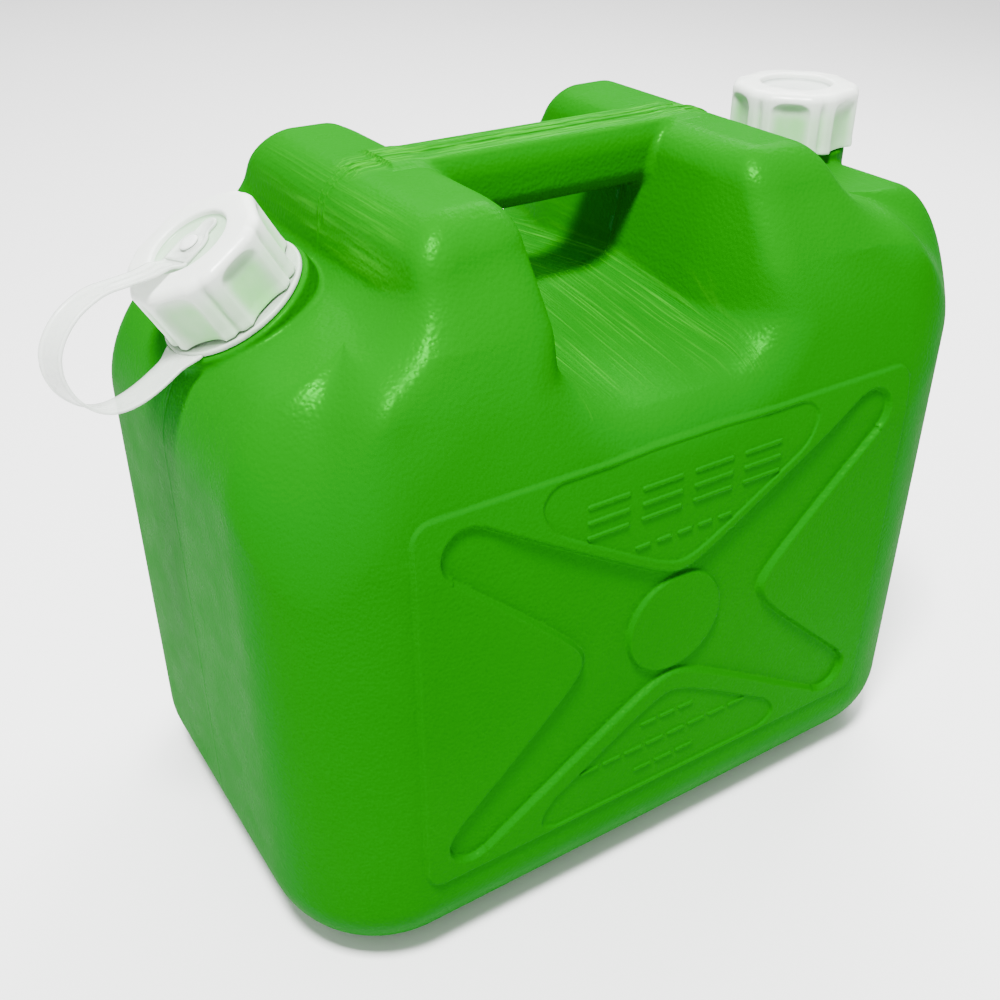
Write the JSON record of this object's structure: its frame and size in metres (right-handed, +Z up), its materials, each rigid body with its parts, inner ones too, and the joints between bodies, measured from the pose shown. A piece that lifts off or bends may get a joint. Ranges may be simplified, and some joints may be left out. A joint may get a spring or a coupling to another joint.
{
  "type": "plastic fuel can",
  "caption": "Rounded blow-moulded plastic fuel can with a moulded bar handle between two ridges, a tilted pour neck with tethered screw cap, and an upright filling neck with screw cap.",
  "frame": {"origin": "middle of the flat base face, where the can stands", "axes": "+Z up, X along the long side with the pour neck at -X and the filling neck at +X, the panelled front towards -Y"},
  "size_m": [0.4032, 0.235, 0.3291],
  "materials": {
    "tank_plastic": "satin grained polyethylene, green",
    "cap_plastic": "milky white translucent polyethylene",
    "tether_plastic": "clear-milky flexible polyethylene",
    "gasket_rubber": "matt black rubber"
  },
  "bodies": {
    "tank": {"tank_shell": "tank_plastic", "pour_neck": "tank_plastic", "fill_neck": "tank_plastic"},
    "tether_loop": {"tether_ring": "tether_plastic", "tether_strap": "tether_plastic"},
    "cap_eyelet": {"tether_eyelet": "tether_plastic"},
    "pouring_cap": {"pour_cap": "cap_plastic", "cap_stud": "cap_plastic", "pour_gasket": "gasket_rubber"},
    "fill_seal": {"fill_gasket": "gasket_rubber"},
    "filling_cap": {"fill_cap": "cap_plastic"}
  },
  "joints": [
    {"name": "tether_swivel", "type": "hinge", "parent": "tank", "child": "tether_loop", "pos_m": [-0.1409, 0, 0.27949], "axis": [-0.5, 0, 0.866], "range_deg": [-25, 25]},
    {"name": "pour_cap_lift", "type": "slide", "parent": "tether_loop", "child": "cap_eyelet", "axis": [-0.5, 0, 0.866], "range_m": [0, 0.0265], "deforming": ["tether_strap"]},
    {"name": "pour_cap_spin", "type": "hinge", "parent": "cap_eyelet", "child": "pouring_cap", "pos_m": [-0.1409, 0, 0.27949], "axis": [-0.5, 0, 0.866], "range_deg": [0, 1560]},
    {"name": "fill_cap_lift", "type": "slide", "parent": "tank", "child": "fill_seal", "axis": [0, 0, 1], "range_m": [0, 0.0265]},
    {"name": "fill_cap_spin", "type": "hinge", "parent": "fill_seal", "child": "filling_cap", "pos_m": [0.152, 0, 0.3], "axis": [0, 0, 1], "range_deg": [0, 1560]}
  ],
  "couplings": [
    {"joint": "pour_cap_lift", "follows": "pour_cap_spin", "m_per_rad": 0.00095493},
    {"joint": "fill_cap_lift", "follows": "fill_cap_spin", "m_per_rad": 0.00095493}
  ]
}
